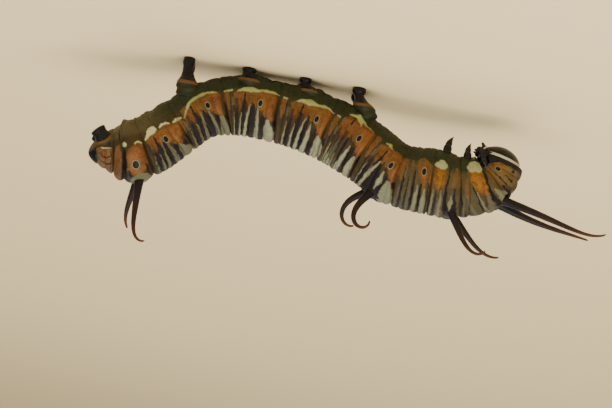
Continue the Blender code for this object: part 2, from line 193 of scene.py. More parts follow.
# Stripes of single places, layer by layer from tail to head: points (distance, angle, half width)
SPECIAL_STRIPES = {
    "orange": (
        ((1.7, 10, 0.3), (1.6, 30, 0.3)), ((3.22, 14, 0.12), (3.2, 42, 0.26), (3.15, 72, 0.2)),
        ((4.97, 13, 0.62), (4.87, 20, 0.9), (4.8, 31, 0.97), (4.72, 44, 0.9), (4.68, 55, 0.55)),
        ((6.5, 2, 0.2), (7.1, 4, 0.4), (7.5, 10, 0.55)), ((8.9, 2, 0.5), (9.7, 8, 0.5), (9.6, 24, 0.35)),
        ((28.62, -27, 0.2), (28.6, 4, 0.18)), ((29.45, -26, 0.16), (29.5, 8, 0.14)),
        ((38.5, -9, 0.5), (38.55, 4, 0.52), (38.65, 25, 0.16)),
        ((39.2, -4, 0.06), (39.3, 20, 0.12), (39.42, 33, 0.05)),
        ((40.1, -12, 0.6), (40.22, 0, 0.66), (40.27, 11, 0.58), (40.42, 20, 0.32), (40.52, 27, 0.08)),
        ((43.95, -18, 0.72), (44.28, 0, 0.82), (44.6, 15, 0.66), (44.82, 28, 0.34)),
        ((44.5, -15, 0.55), (44.7, 4, 0.46)), ((47.3, -20, 0.3), (47.4, 6, 0.34)),
    ),
    "rust": (
        ((1.2, 5, 0.7), (1.5, 60, 0.9), (1.9, 90, 1.0)), ((2.2, 6, 0.3), (2.3, 84, 0.4)),
        ((3.2, 0, 0.15), (3.15, 20, 0.38), (3.12, 60, 0.42), (3.0, 90, 0.45)),
        ((5.45, 4, 0.32), (5.5, 42, 0.3)), ((10.25, 4, 0.25), (10.6, 12, 0.3)),
        ((36.0, -18, 0.14), (36.1, 10, 0.1)), ((36.6, -20, 0.08), (36.65, 6, 0.06)),
        ((37.2, -20, 0.1), (37.2, -5, 0.06)), ((38.3, -18, 0.6), (38.5, -10, 0.7)),
        ((41.95, -21, 0.16), (41.9, -5, 0.32), (41.82, 14, 0.16)), ((42.35, -4, 0.05), (42.4, 24, 0.05)),
        ((43.1, -4, 0.08), (43.12, 10, 0.22), (43.2, 25, 0.22), (43.3, 38, 0.07)),
        ((45.85, -24, 0.16), (45.85, 10, 0.16)), ((46.1, -26, 0.4), (46.2, 32, 0.4)),
        ((46.3, -16, 0.2), (46.4, 10, 0.14)), ((47.1, -28, 0.62), (47.15, 50, 0.62)),
    ),
    "black": (
        ((1.0, 42, 0.07), (1.8, 55, 0.12), (2.4, 44, 0.07)),
        ((1.1, 14, 0.05), (1.8, 33, 0.1), (2.5, 22, 0.05)),
        ((2.3, -15, 0.05), (2.5, 30, 0.06), (2.3, 75, 0.05)),
        ((3.2, -40, 0.05), (3.3, -18, 0.1), (3.5, -6, 0.05)),
        ((3.84, 8, 0.08), (3.8, 30, 0.15), (3.72, 60, 0.16), (3.7, 90, 0.16)),
        ((4.05, 50, 0.05), (4.15, 68, 0.14), (4.5, 82, 0.3)),
        ((5.52, 45, 0.08), (5.6, 66, 0.12), (5.5, 90, 0.14)),
        ((24.85, 6, 0.06), (24.68, 25, 0.28), (24.6, 60, 0.32), (24.55, 90, 0.3)),
        ((26.0, 22, 0.12), (26.0, 36, 0.24), (25.92, 90, 0.26)),
        ((30.62, 20, 0.12), (30.68, 36, 0.26), (30.62, 90, 0.2)),
        ((34.1, 12, 0.08), (34.1, 30, 0.36), (34.08, 58, 0.5), (34.5, 74, 0.45)),
        ((35.15, 24, 0.08), (35.2, 33, 0.18), (35.05, 58, 0.25), (34.8, 74, 0.4)),
        ((36.6, 10, 0.04), (36.62, 90, 0.09)), ((37.05, 10, 0.04), (37.07, 90, 0.09)),
        ((37.6, -4, 0.05), (37.62, 30, 0.13), (37.55, 90, 0.12)),
        ((38.37, 19, 0.09), (38.37, 40, 0.17), (38.4, 90, 0.14)),
        ((39.15, 15, 0.06), (39.28, 40, 0.11), (39.35, 90, 0.1)),
        ((40.2, 26, 0.05), (40.28, 48, 0.13), (40.35, 90, 0.14)),
        ((41.1, -26, 0.04), (41.15, 0, 0.08), (41.08, 20, 0.1), (41.22, 45, 0.18), (41.65, 74, 0.36)),
        ((42.5, 28, 0.05), (42.9, 60, 0.1), (43.2, 90, 0.1)),
        ((43.6, 6, 0.03), (44.15, 36, 0.07), (44.65, 88, 0.1)),
        ((45.15, -32, 0.12), (45.2, -5, 0.19), (45.12, 12, 0.08), (45.3, 50, 0.2), (45.6, 74, 0.4)),
        ((46.45, -20, 0.03), (46.5, 40, 0.06)), ((46.98, 18, 0.04), (46.95, 46, 0.08)),
        ((47.62, 34, 0.13), (47.6, 38, 0.12)), ((48.02, -90, 0.2), (48.02, 0, 0.16), (48.02, 90, 0.2)),
    ),
    "white": (
        ((4.75, 65, 0.4), (4.85, 74, 0.78), (4.9, 90, 0.85)),
        ((9.3, 50, 0.32), (9.8, 66, 0.62), (10.0, 90, 0.72)),
        ((14.82, 34, 0.34), (14.9, 60, 0.68), (14.88, 90, 0.72)),
        ((25.22, 15, 0.06), (25.32, 38, 0.27), (25.22, 66, 0.31), (25.1, 90, 0.32)),
        ((26.52, 35, 0.26), (26.85, 48, 0.6), (26.95, 66, 0.68), (26.8, 90, 0.56)),
        ((28.16, 30, 0.05), (28.12, 50, 0.09), (28.1, 90, 0.07)),
        ((28.5, 42, 0.05), (28.46, 60, 0.15), (28.42, 90, 0.16)),
        ((28.84, 48, 0.05), (28.8, 64, 0.14), (28.78, 90, 0.15)),
        ((29.15, 44, 0.04), (29.12, 62, 0.11), (29.12, 90, 0.13)),
        ((30.22, 18, 0.06), (30.12, 38, 0.22), (30.0, 68, 0.3), (29.92, 90, 0.3)),
        ((31.2, 32, 0.16), (31.15, 50, 0.36), (31.2, 90, 0.33)),
        ((33.86, 8, 0.06), (33.66, 28, 0.16), (33.46, 60, 0.17), (33.38, 90, 0.17)),
        ((34.72, 20, 0.1), (34.78, 40, 0.24), (34.7, 60, 0.03)),
        ((35.48, 34, 0.2), (35.58, 48, 0.4), (35.66, 65, 0.5), (35.66, 90, 0.52)),
        ((38.08, 22, 0.07), (38.0, 40, 0.19), (37.92, 90, 0.2)),
        ((38.82, 28, 0.1), (38.86, 48, 0.32), (38.9, 90, 0.34)),
        ((39.85, 25, 0.06), (39.93, 50, 0.12), (40.0, 90, 0.12)),
        ((40.66, 24, 0.06), (40.75, 42, 0.16), (40.8, 60, 0.18), (40.85, 90, 0.2)),
        ((41.7, 30, 0.07), (41.74, 46, 0.21), (41.8, 61, 0.05)),
        ((44.05, 22, 0.05), (44.4, 46, 0.1), (44.85, 90, 0.1)),
        ((45.55, 26, 0.06), (45.8, 44, 0.24), (45.95, 58, 0.33), (46.0, 66, 0.2)),
        ((46.45, 70, 0.2), (46.5, 90, 0.26)),
    ),
    "grey": (
        ((27.9, 60, 0.05), (27.95, 90, 0.1)),
        ((28.8, 20, 0.08), (28.78, 34, 0.28), (28.76, 48, 0.36), (28.75, 62, 0.1)),
        ((29.5, 55, 0.04), (29.48, 70, 0.1), (29.45, 90, 0.12)), ((36.42, 16, 0.03), (36.42, 90, 0.09)),
        ((36.83, 20, 0.03), (36.85, 90, 0.1)), ((37.3, 18, 0.05), (37.35, 90, 0.12)),
        ((42.8, 30, 0.05), (42.95, 88, 0.1)), ((43.15, 30, 0.05), (43.6, 60, 0.14), (44.1, 90, 0.14)),
        ((44.9, 34, 0.06), (45.05, 58, 0.2), (45.15, 90, 0.2)),
    ),
    "mark": (
        ((9.75, 40, 0.16), (9.95, 50, 0.2)), ((27.3, 33, 0.2), (27.45, 41, 0.18)),
        ((28.62, 14, 0.06), (28.62, 50, 0.04)), ((29.1, -31, 0.05), (29.1, -18, 0.08)),
        ((29.1, 10, 0.07), (29.08, 46, 0.05)), ((29.62, 8, 0.1), (29.6, 34, 0.12), (29.62, 70, 0.05)),
        ((31.68, 28, 0.14), (31.75, 38, 0.14)), ((34.45, 64, 0.3), (34.8, 76, 0.6), (34.83, 84, 0.5)),
        ((35.9, 32, 0.18), (35.98, 40, 0.16)), ((41.9, 16, 0.06), (42.05, 45, 0.15), (41.9, 74, 0.36)),
        ((46.15, 30, 0.06), (46.32, 58, 0.12), (45.85, 76, 0.36)),
    ),
    "cream": (
        ((1.35, -7, 0.05), (1.6, 0, 0.13), (2.4, 4, 0.06)), ((3.87, -3, 0.22), (3.87, 0, 0.22)),
        ((4.95, 1, 0.07), (5.3, -1, 0.13), (5.62, 3, 0.07)),
        ((6.15, -1, 0.1), (6.55, -6, 0.24), (6.95, -10, 0.4), (7.4, -12, 0.44)),
        ((8.15, -9, 0.1), (8.6, -11, 0.2), (8.95, -9, 0.16), (9.3, -5, 0.07)),
        ((9.7, -3, 0.12), (10.1, -4, 0.2), (10.6, -2, 0.12)),
        ((10.9, 1, 0.05), (11.4, -10, 0.11), (12.0, -19, 0.17), (12.6, -24, 0.24),
         (13.3, -25, 0.22), (14.0, -24, 0.18), (14.6, -20, 0.13), (15.05, -16.5, 0.05)),
        ((15.75, -18, 0.1), (16.45, -18, 0.1)),
        ((28.45, -33, 0.07), (28.9, -35, 0.18), (29.35, -37, 0.28),
         (29.7, -33, 0.28), (30.0, -25, 0.12), (30.0, -21, 0.04)),
        ((29.8, -35, 0.15), (30.5, -31, 0.1), (31.4, -28.5, 0.04)),
        ((33.1, -24, 0.08), (33.5, -28, 0.27), (33.55, -25, 0.21), (33.95, -24, 0.08)),
        ((39.82, -21, 0.38), (40.45, -21, 0.38), (40.15, -28, 0.38)), ((43.3, -63, 0.04), (44.4, -61, 0.08)),
        ((43.75, -29, 0.6), (44.0, -38, 0.66), (44.35, -40, 0.68), (44.5, -29, 0.62)),
    ),
}
# Value of a field far outside its stripes, and the length of a segment whose whites have their full width
OUTSIDE = -9.0
FULL_LENGTH = 5.4
# How far the stripes are drawn: as a share of a patterned segment's length, and beyond a single stripe
SEGMENT_REACH = 0.62
STRIPE_REACH = 1.5
# Glow of the orange round a spiracle: share, place against the spiracle, sizes
GLOW = ((1.0, (-0.35, 4), (0.75, 0.8)), (0.8, (0.75, 15), (0.6, 0.9)))
LAYERS = ("orange", "rust", "dark", "black", "white", "grey", "mark", "cream")

# Grooves between the folds: shares of a patterned segment's length, then places of the others along the axis
GROOVES = (-0.5, -0.36, -0.21, -0.05, 0.12, 0.42)
SPECIAL_GROOVES = (0.9, 1.7, 37.45, 38.15, 38.95, 40.55, 41.2, 42.75, 43.4, 44.75, 45.25, 46.5, 47.4)
# Relief: how far a fold bulges, the widest fold that still grows, and how strongly folds show at an angle
PUFF = 0.24
WIDE_FOLD = 1.2
FOLD_STRENGTH = ((-90, 0.45), (-45, 0.5), (-22, 0.3), (-5, 0.4), (15, 0.75), (35, 1.0), (90, 1.0))
# Lean of folds over the back, and where it and the side ridge fade: place and width, at the tail and the head
FOLD_LEAN = 0.32
LEAN_ENDS = ((4, 3), (43, 4))
RIDGE_ENDS = ((6, 3), (42, 4))
CREASE_DEPTH = 0.16
CREASE_WIDTH = 0.13
# Side ridge: height, angle, spread
RIDGE = (0.16, -21, 7)
# Mounds under the filaments (height, reach) and over the prolegs (height, length, angle, width)
FILAMENT_MOUND = (0.15, 0.8)
PROLEG_MOUND = (0.3, 1.45, -57, 1.4)
# Chest: height, place, length, angle, spread; lowered back: depth, place, length
CHEST = (0.34, 45.0, 1.1, -85, 32)
LOW_BACK = (0.42, 12.8, 2.0)
# Hollows round the spiracles: depth, size against the spiracle
PORE_HOLLOW = (0.07, 1.7)
# Length over which the relief rises at the tail tip, and the radius that the waves of the skin go round
TAIL_FLAT = 1.2
WAVE_RADIUS = 3.2
# Uneven waves: size, waves along, across and up, seed
SWAY = (0.06, 0.8, 0.8, 0.8, 3)
BELLY_WAVES = (0.07, 2.4, 1.6, 1.6, 9)
SKIN_WAVES = (0.018, 5.0, 2.5, 2.5, 5)
FINE_WAVES = (0.006, 17, 7, 7, 7)
EDGE_WAVES = (0.035, 5, 3, 5, 31)
FINE_EDGE_WAVES = (0.012, 14, 9, 14, 32)
ROUND_EDGE_WAVES = (1.0, 5, 3, 4, 33)
HEAD_WAVES = (0.004, 14, 14, 14, 21)
FINE_HEAD_WAVES = (0.0018, 45, 45, 45, 22)
# Rings and sides of the skin's mesh
RINGS = 1050
SIDES = 320
# Rim of the skin round the head: rings, turn, how far it draws in and reaches forward
COLLAR_RINGS = 12
COLLAR_TURN = math.pi * 0.75
COLLAR_DRAW = 0.13
COLLAR_REACH = 0.26


# Trunk surface
def border_places():
    """Distance along the axis, and point, of the tail tip and each segment's front border."""
    points = [np.array((TAIL[0], TAIL[2]))]
    for _, length, rise, _ in TRUNK:
        rise = math.radians(rise)
        points.append(points[-1] + length * np.array((-math.cos(rise), math.sin(rise))))
    distances = np.concatenate(([0.0], np.cumsum([row[1] for row in TRUNK])))
    return distances, np.array(points)


DISTANCES, POINTS = border_places()
HEIGHTS = np.array([0.0] + [row[3] for row in TRUNK])
SEGMENT = {row[0]: index for index, row in enumerate(TRUNK)}
END = DISTANCES[-1]


def smooth(knots, values, at):
    """Values and slopes of a smooth curve through a value at each knot, at an array of places."""
    knots = np.asarray(knots, float)
    values = np.asarray(values, float)
    at = np.asarray(at, float)
    slopes = np.gradient(values, knots, axis=0, edge_order=2)
    k = np.clip(np.searchsorted(knots, at) - 1, 0, len(knots) - 2)
    span = knots[k + 1] - knots[k]
    f = (at - knots[k]) / span
    if values.ndim > 1:
        span = span[..., None]
        f = f[..., None]
    rise = values[k + 1] - values[k]
    a = span * slopes[k] - rise
    b = rise - span * slopes[k + 1]
    value = values[k] + f * rise + f * (1 - f) * (a * (1 - f) + b * f)
    slope = (rise + (1 - 2 * f) * (a * (1 - f) + b * f) + f * (1 - f) * (b - a)) / span
    return value, slope


def place(segment, share):
    k = SEGMENT[segment]
    return DISTANCES[k] + share * (DISTANCES[k + 1] - DISTANCES[k])


def axis(s):
    """Centres, forward and back directions of the trunk at distances s."""
    point, slope = smooth(DISTANCES, POINTS, s)
    slope = slope / np.linalg.norm(slope, axis=-1, keepdims=True)
    zero = np.zeros(point.shape[:-1])
    centre = np.stack((point[..., 0], zero + TAIL[1], point[..., 1]), -1)
    forward = np.stack((slope[..., 0], zero, slope[..., 1]), -1)
    back = np.stack((slope[..., 1], zero, -slope[..., 0]), -1)
    return centre, forward, back


def height(s):
    s = np.asarray(s, float)
    tail = HEIGHTS[1] * (np.maximum(s, 1e-6) / DISTANCES[1]) ** TAIL_TAPER
    return np.where(s < DISTANCES[1], tail, smooth(DISTANCES, HEIGHTS, s)[0])


def all_grooves():
    places = [0.0, END + 0.3] + list(SPECIAL_GROOVES) + list(DISTANCES[1:-1])
    for spiracle, behind, ahead, _, _ in PATTERNED.values():
        places += [spiracle + share * (behind if share < 0 else ahead) for share in GROOVES]
    return np.array(sorted(places))


FOLDS = all_grooves()


def wave(x, y, z, seed):
    """Smooth uneven values between about -1 and 1, the same on every run."""
    rng = np.random.default_rng(seed)
    total = 0.0
    for _ in range(8):
        kx, ky, kz = rng.uniform(0.4, 1.5, 3) * rng.choice((-1, 1), 3)
        total = total + np.sin(kx * x + ky * y + kz * z + rng.uniform(0, 6.28))
    return total / 4


def uneven(x, y, z, waves):
    size, along, across, up, seed = waves
    return size * wave(x * along, y * across, z * up, seed)


def bell(value, middle, spread):
    return np.exp(-((value - middle) / spread) ** 2)


def fade(value, start, width):
    """Rises from 0 at the start to 1 over a width."""
    return np.clip((value - start) / width, 0, 1)


def inside(s, ends):
    """0 beyond two places along the trunk, rising to 1 between them."""
    (tail, tail_width), (head, head_width) = ends
    return fade(s, tail, tail_width) * fade(-s, -head, head_width)


def apart(s, up, spot, sizes):
    """Squared distance from a spot on the skin, as a share of its sizes along and round the trunk."""
    return ((s - spot[0]) / sizes[0]) ** 2 + ((up - spot[1]) * ARC / sizes[1]) ** 2


def relief(s, angle):
    """Height of the skin over the plain trunk, and how deep in a fold it lies, at distance s and angle."""
    turn = np.radians(angle)
    left, over = WAVE_RADIUS * np.cos(turn), WAVE_RADIUS * np.sin(turn)
    up = np.degrees(np.arcsin(np.sin(turn)))
    lean = FOLD_LEAN * fade(up, 20, 45) * inside(s, LEAN_ENDS)
    sway = s + uneven(s, left, over, SWAY) - lean
    k = np.clip(np.searchsorted(FOLDS, sway) - 1, 0, len(FOLDS) - 2)
    width = FOLDS[k + 1] - FOLDS[k]
    x = np.clip((sway - FOLDS[k]) / width, 0, 1)
    puff = np.sqrt(np.clip(4 * x * (1 - x), 0, 1))
    strength = np.interp(up, *zip(*FOLD_STRENGTH))
    rise = PUFF * np.minimum(width, WIDE_FOLD) * (puff - 0.8) * strength
    border = np.min(np.abs(sway[..., None] - DISTANCES[1:-1]), -1)
    crease = bell(border, 0, CREASE_WIDTH) * strength * np.clip((up + 40) / 20, 0.25, 1)
    rise = rise - CREASE_DEPTH * crease
    high, at, spread = RIDGE
    ridge = bell(up, at, spread) * (1 - 0.7 * bell(border, 0, 0.5))
    rise = rise + high * ridge * inside(s, RIDGE_ENDS)
    high, long, at, wide = PROLEG_MOUND
    for segment, _, _, _, _ in PROLEGS:
        rise = rise + high * np.exp(-apart(s, up, (place(segment, 0.5), at), (long, wide)) ** 2)
    high, reach = FILAMENT_MOUND
    for segment, share, at, *_ in FILAMENTS.values():
        rise = rise + high * np.exp(-apart(s, up, (place(segment, share), at), (reach, reach)))
    low, where, long = LOW_BACK
    rise = rise - low * bell(s, where, long) * fade(up, 10, 50)
    high, where, long, at, spread = CHEST
    rise = rise + high * bell(s, where, long) * bell(up, at, spread)
    rise = rise + fade(-up, 25, 20) * uneven(s, left, over, BELLY_WAVES)
    rise = rise + uneven(s, left, over, SKIN_WAVES) + uneven(s, left, over, FINE_WAVES)
    low, size = PORE_HOLLOW
    for where, at, long_half, wide_half in SPIRACLES:
        rise = rise - low * np.exp(-apart(s, up, (where, at), (wide_half * size, long_half * size)) ** 2)
    hollow = np.clip(1 - puff * 1.5, 0, 1) * strength + crease
    return rise * np.clip(s / TAIL_FLAT, 0.1, 1), np.clip(hollow, 0, 1), up, left


def skin_points(s, angle, extra=0.0):
    """Points of the finished skin, in millimetres."""
    s, angle = np.broadcast_arrays(np.asarray(s, float), np.asarray(angle, float))
    rise = relief(s, angle)[0] + extra
    half = height(s) / 2
    centre, _, back = axis(s)
    turn = np.radians(angle)
    across = ((half * WIDTH_TO_HEIGHT + rise) * np.cos(turn))[..., None]
    up = ((half + rise) * np.sin(turn))[..., None]
    return centre - SIDEWAYS * across + back * up


# Pattern of the skin
def stripe_field(x, y, points):
    """How far inside a tapering stripe each place lies, in millimetres; below zero is outside."""
    best = np.full(x.shape, OUTSIDE)
    for (x0, y0, r0), (x1, y1, r1) in zip(points, points[1:]):
        dx, dy = x1 - x0, (y1 - y0) * ARC
        ux, uy = x - x0, y * ARC - y0 * ARC
        t = np.clip((ux * dx + uy * dy) / (dx * dx + dy * dy), 0, 1)
        far = np.hypot(ux - t * dx, uy - t * dy)
        best = np.maximum(best, r0 + t * (r1 - r0) - far)
    return best


def pattern(s, up, left):
    """The fields of each colour layer over the skin, their outlines a little uneven."""
    over = up * ARC
    s = s + uneven(s, left, over, EDGE_WAVES) + uneven(s, left, over, FINE_EDGE_WAVES)
    up = up + uneven(s, left, over, ROUND_EDGE_WAVES)
    fields = {layer: np.full(s.shape, OUTSIDE) for layer in LAYERS}

    def draw(layer, near, x, y, points):
        fields[layer][near] = np.maximum(fields[layer][near], stripe_field(x, y, points))

    for spiracle, behind, ahead, shift, skipped in PATTERNED.values():
        moved = up - np.interp(up, (-40, 0, 50, 90), shift)
        near = (s > spiracle - behind * SEGMENT_REACH) & (s < spiracle + ahead * SEGMENT_REACH)
        x = (s - spiracle)[near]
        y = moved[near]
        for layer, stripes in STRIPES.items():
            for mark, *points in stripes:
                if any(word in skipped for word in mark.split()):
                    continue
                thin = min(1.0, behind / FULL_LENGTH) if "pale" in mark and layer == "white" else 1.0
                placed = [(share * (behind if share < 0 else ahead), at, half * thin)
                          for share, at, half in points]
                draw(layer, near, x, y, placed)
    for layer, stripes in SPECIAL_STRIPES.items():
        for points in stripes:
            places = [point[0] for point in points]
            near = (s > min(places) - STRIPE_REACH) & (s < max(places) + STRIPE_REACH)
            draw(layer, near, s[near], up[near], points)
    glow = np.zeros(s.shape)
    for where, at, _, _ in SPIRACLES:
        for share, spot, sizes in GLOW:
            spot = (where + spot[0], at + spot[1])
            glow = np.maximum(glow, share * np.exp(-apart(s, up, spot, sizes)))
    fields["glow"] = glow
    return fields


# Meshes
def link(made):
    bpy.context.scene.collection.objects.link(made)
    return made


def piece(name, points, faces, material, nodes, fields):
    """An object from points in millimetres that rides with the body and stands for the named nodes."""
    data = bpy.data.meshes.new(name)
    data.from_pydata((np.asarray(points).reshape(-1, 3) * MM).tolist(), [], faces)
    data.polygons.foreach_set("use_smooth", [True] * len(data.polygons))
    for field, values in fields.items():
        layer = data.attributes.new(field, "FLOAT", "POINT")
        layer.data.foreach_set("value", np.asarray(values, float).ravel().astype(np.float32))
    data.materials.append(material)
    data.update()
    body = link(bpy.data.objects.new(name, data))
    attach(body, "root")
    if nodes:
        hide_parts(*nodes)
    return body


def ring_faces(rings, sides, flip=False):
    """Quads between rings of points, and one face over each end."""
    i = np.arange(rings - 1)[:, None] * sides
    j = np.arange(sides)[None, :]
    k = (j + 1) % sides
    quads = np.stack((i + j, i + k, i + sides + k, i + sides + j), -1).reshape(-1, 4)
    faces = [tuple(face) for face in quads.tolist()]
    faces += [tuple(range(sides))[::-1], tuple(range((rings - 1) * sides, rings * sides))]
    return [face[::-1] for face in faces] if flip else faces


def round_turns(sides):
    return np.linspace(0, 2 * math.pi, sides, endpoint=False)


def tube(path, radii, sides):
    """Rings of points square to a path."""
    path = np.asarray(path, float)
    radii = np.asarray(radii, float)
    along = np.gradient(path, axis=0)
    along /= np.linalg.norm(along, axis=1, keepdims=True)
    side = SIDEWAYS
    turns = round_turns(sides)
    rings = []
    for point, direction, radius in zip(path, along, radii):
        side = side - direction * side.dot(direction)
        side /= np.linalg.norm(side)
        other = np.cross(direction, side)
        ring = np.cos(turns)[:, None] * side + np.sin(turns)[:, None] * other
        rings.append(point + radius * ring)
    return np.array(rings)


def rounded(f, table):
    """Radii at places f from a table of places and radii, with its corners rounded."""
    radii = np.interp(f, *zip(*table))
    return np.convolve(np.pad(radii, 2, "edge"), np.ones(5) / 5, "valid")


def root_point(segment, share, angle, depth, side):
    """A point at a depth inside the plain trunk."""
    s = place(segment, share)
    half = float(height(s)) / 2 - depth
    centre, _, back = axis(s)
    turn = math.radians(angle)
    point = centre + back * half * math.sin(turn)
    point[1] = TAIL[1] + side * (half * WIDTH_TO_HEIGHT * math.cos(turn))
    return point


def walk(start, moves):
    return start + np.concatenate((np.zeros((1, 3)), np.cumsum(moves, 0)))


def swell(path, rings, share):
    """Moves the points of rings away from their path by a share of their distance from it."""
    path = np.asarray(path)[:, None, :]
    return path + (rings - path) * (1 + share[..., None])


def join(parts):
    """One list of points and faces from several."""
    points = []
    faces = []
    for part_points, part_faces in parts:
        start = sum(len(group) for group in points)
        points.append(np.asarray(part_points).reshape(-1, 3))
        faces += [tuple(index + start for index in face) for face in part_faces]
    return np.concatenate(points), faces


# Materials
class Shader:
    """A node material made with short calls."""

    def __init__(self, name):
        self.material = bpy.data.materials.new(name)
        self.material.use_nodes = True
        self.tree = self.material.node_tree
        self.principled = self.tree.nodes["Principled BSDF"]

    def put(self, socket, value):
        if isinstance(value, bpy.types.NodeSocket):
            self.tree.links.new(value, socket)
        elif isinstance(value, tuple) and len(value) == 3 and socket.type == "RGBA":
            socket.default_value = (*value, 1)
        else:
            socket.default_value = value

    def node(self, kind, out=0, settings=None, **inputs):
        made = self.tree.nodes.new("ShaderNode" + kind)
        for key, value in (settings or {}).items():
            setattr(made, key, value)
        for key, value in inputs.items():
            index = int(key[1:]) if key[0] == "i" and key[1:].isdigit() else key.replace("_", " ")
            self.put(made.inputs[index], value)
        return made.outputs[out]

    def field(self, name):
        return self.node("Attribute", "Fac", {"attribute_name": name})

    def math(self, operation, a, b=0.0, c=0.0):
        return self.node("Math", 0, {"operation": operation}, i0=a, i1=b, i2=c)

    def noise(self, scale, detail=3.0, roughness=0.55, vector=None):
        where = vector or self.node("TexCoord", "Object")
        return self.node("TexNoise", "Fac", None, Vector=where, Scale=scale, Detail=detail,
                         Roughness=roughness)

    def pits(self, scale):
        return self.node("TexVoronoi", "Distance", None, Vector=self.node("TexCoord", "Object"), Scale=scale)

    def uneven(self, scale, detail, width):
        """Small values above and below zero that fray the edges of a mask."""
        return self.math("MULTIPLY", self.math("SUBTRACT", self.noise(scale, detail), 0.5), width)

    def mask(self, name, edge, soft):
        return self.ramp(self.math("ADD", self.field(name), edge), -soft, soft)

    def ramp(self, value, low, high, to_low=0.0, to_high=1.0):
        return self.node("MapRange", "Result", {"interpolation_type": "SMOOTHSTEP"}, Value=value,
                         From_Min=low, From_Max=high, To_Min=to_low, To_Max=to_high)

    def mix(self, share, a, b):
        made = self.tree.nodes.new("ShaderNodeMix")
        made.data_type = "RGBA"
        self.put(made.inputs["Factor"], share)
        self.put(made.inputs[6], a)
        self.put(made.inputs[7], b)
        return made.outputs[2]

    def bump(self, height, distance, strength, normal=None):
        inputs = {"Height": height, "Distance": distance, "Strength": strength}
        if normal is not None:
            inputs["Normal"] = normal
        return self.node("Bump", "Normal", None, **inputs)

    def finish(self, colour, rough, normal, **inputs):
        inputs.update(Base_Color=colour, Roughness=rough, Normal=normal)
        for key, value in inputs.items():
            self.put(self.principled.inputs[key.replace("_", " ")], value)
        return self.material

    def flesh(self, colour, rough, normal, weight, radius, scale):
        """Finishes a soft material that light enters a little."""
        return self.finish(colour, rough, normal, Subsurface_Weight=weight, Subsurface_Radius=radius,
                           Subsurface_Scale=scale, Specular_IOR_Level=0.14)


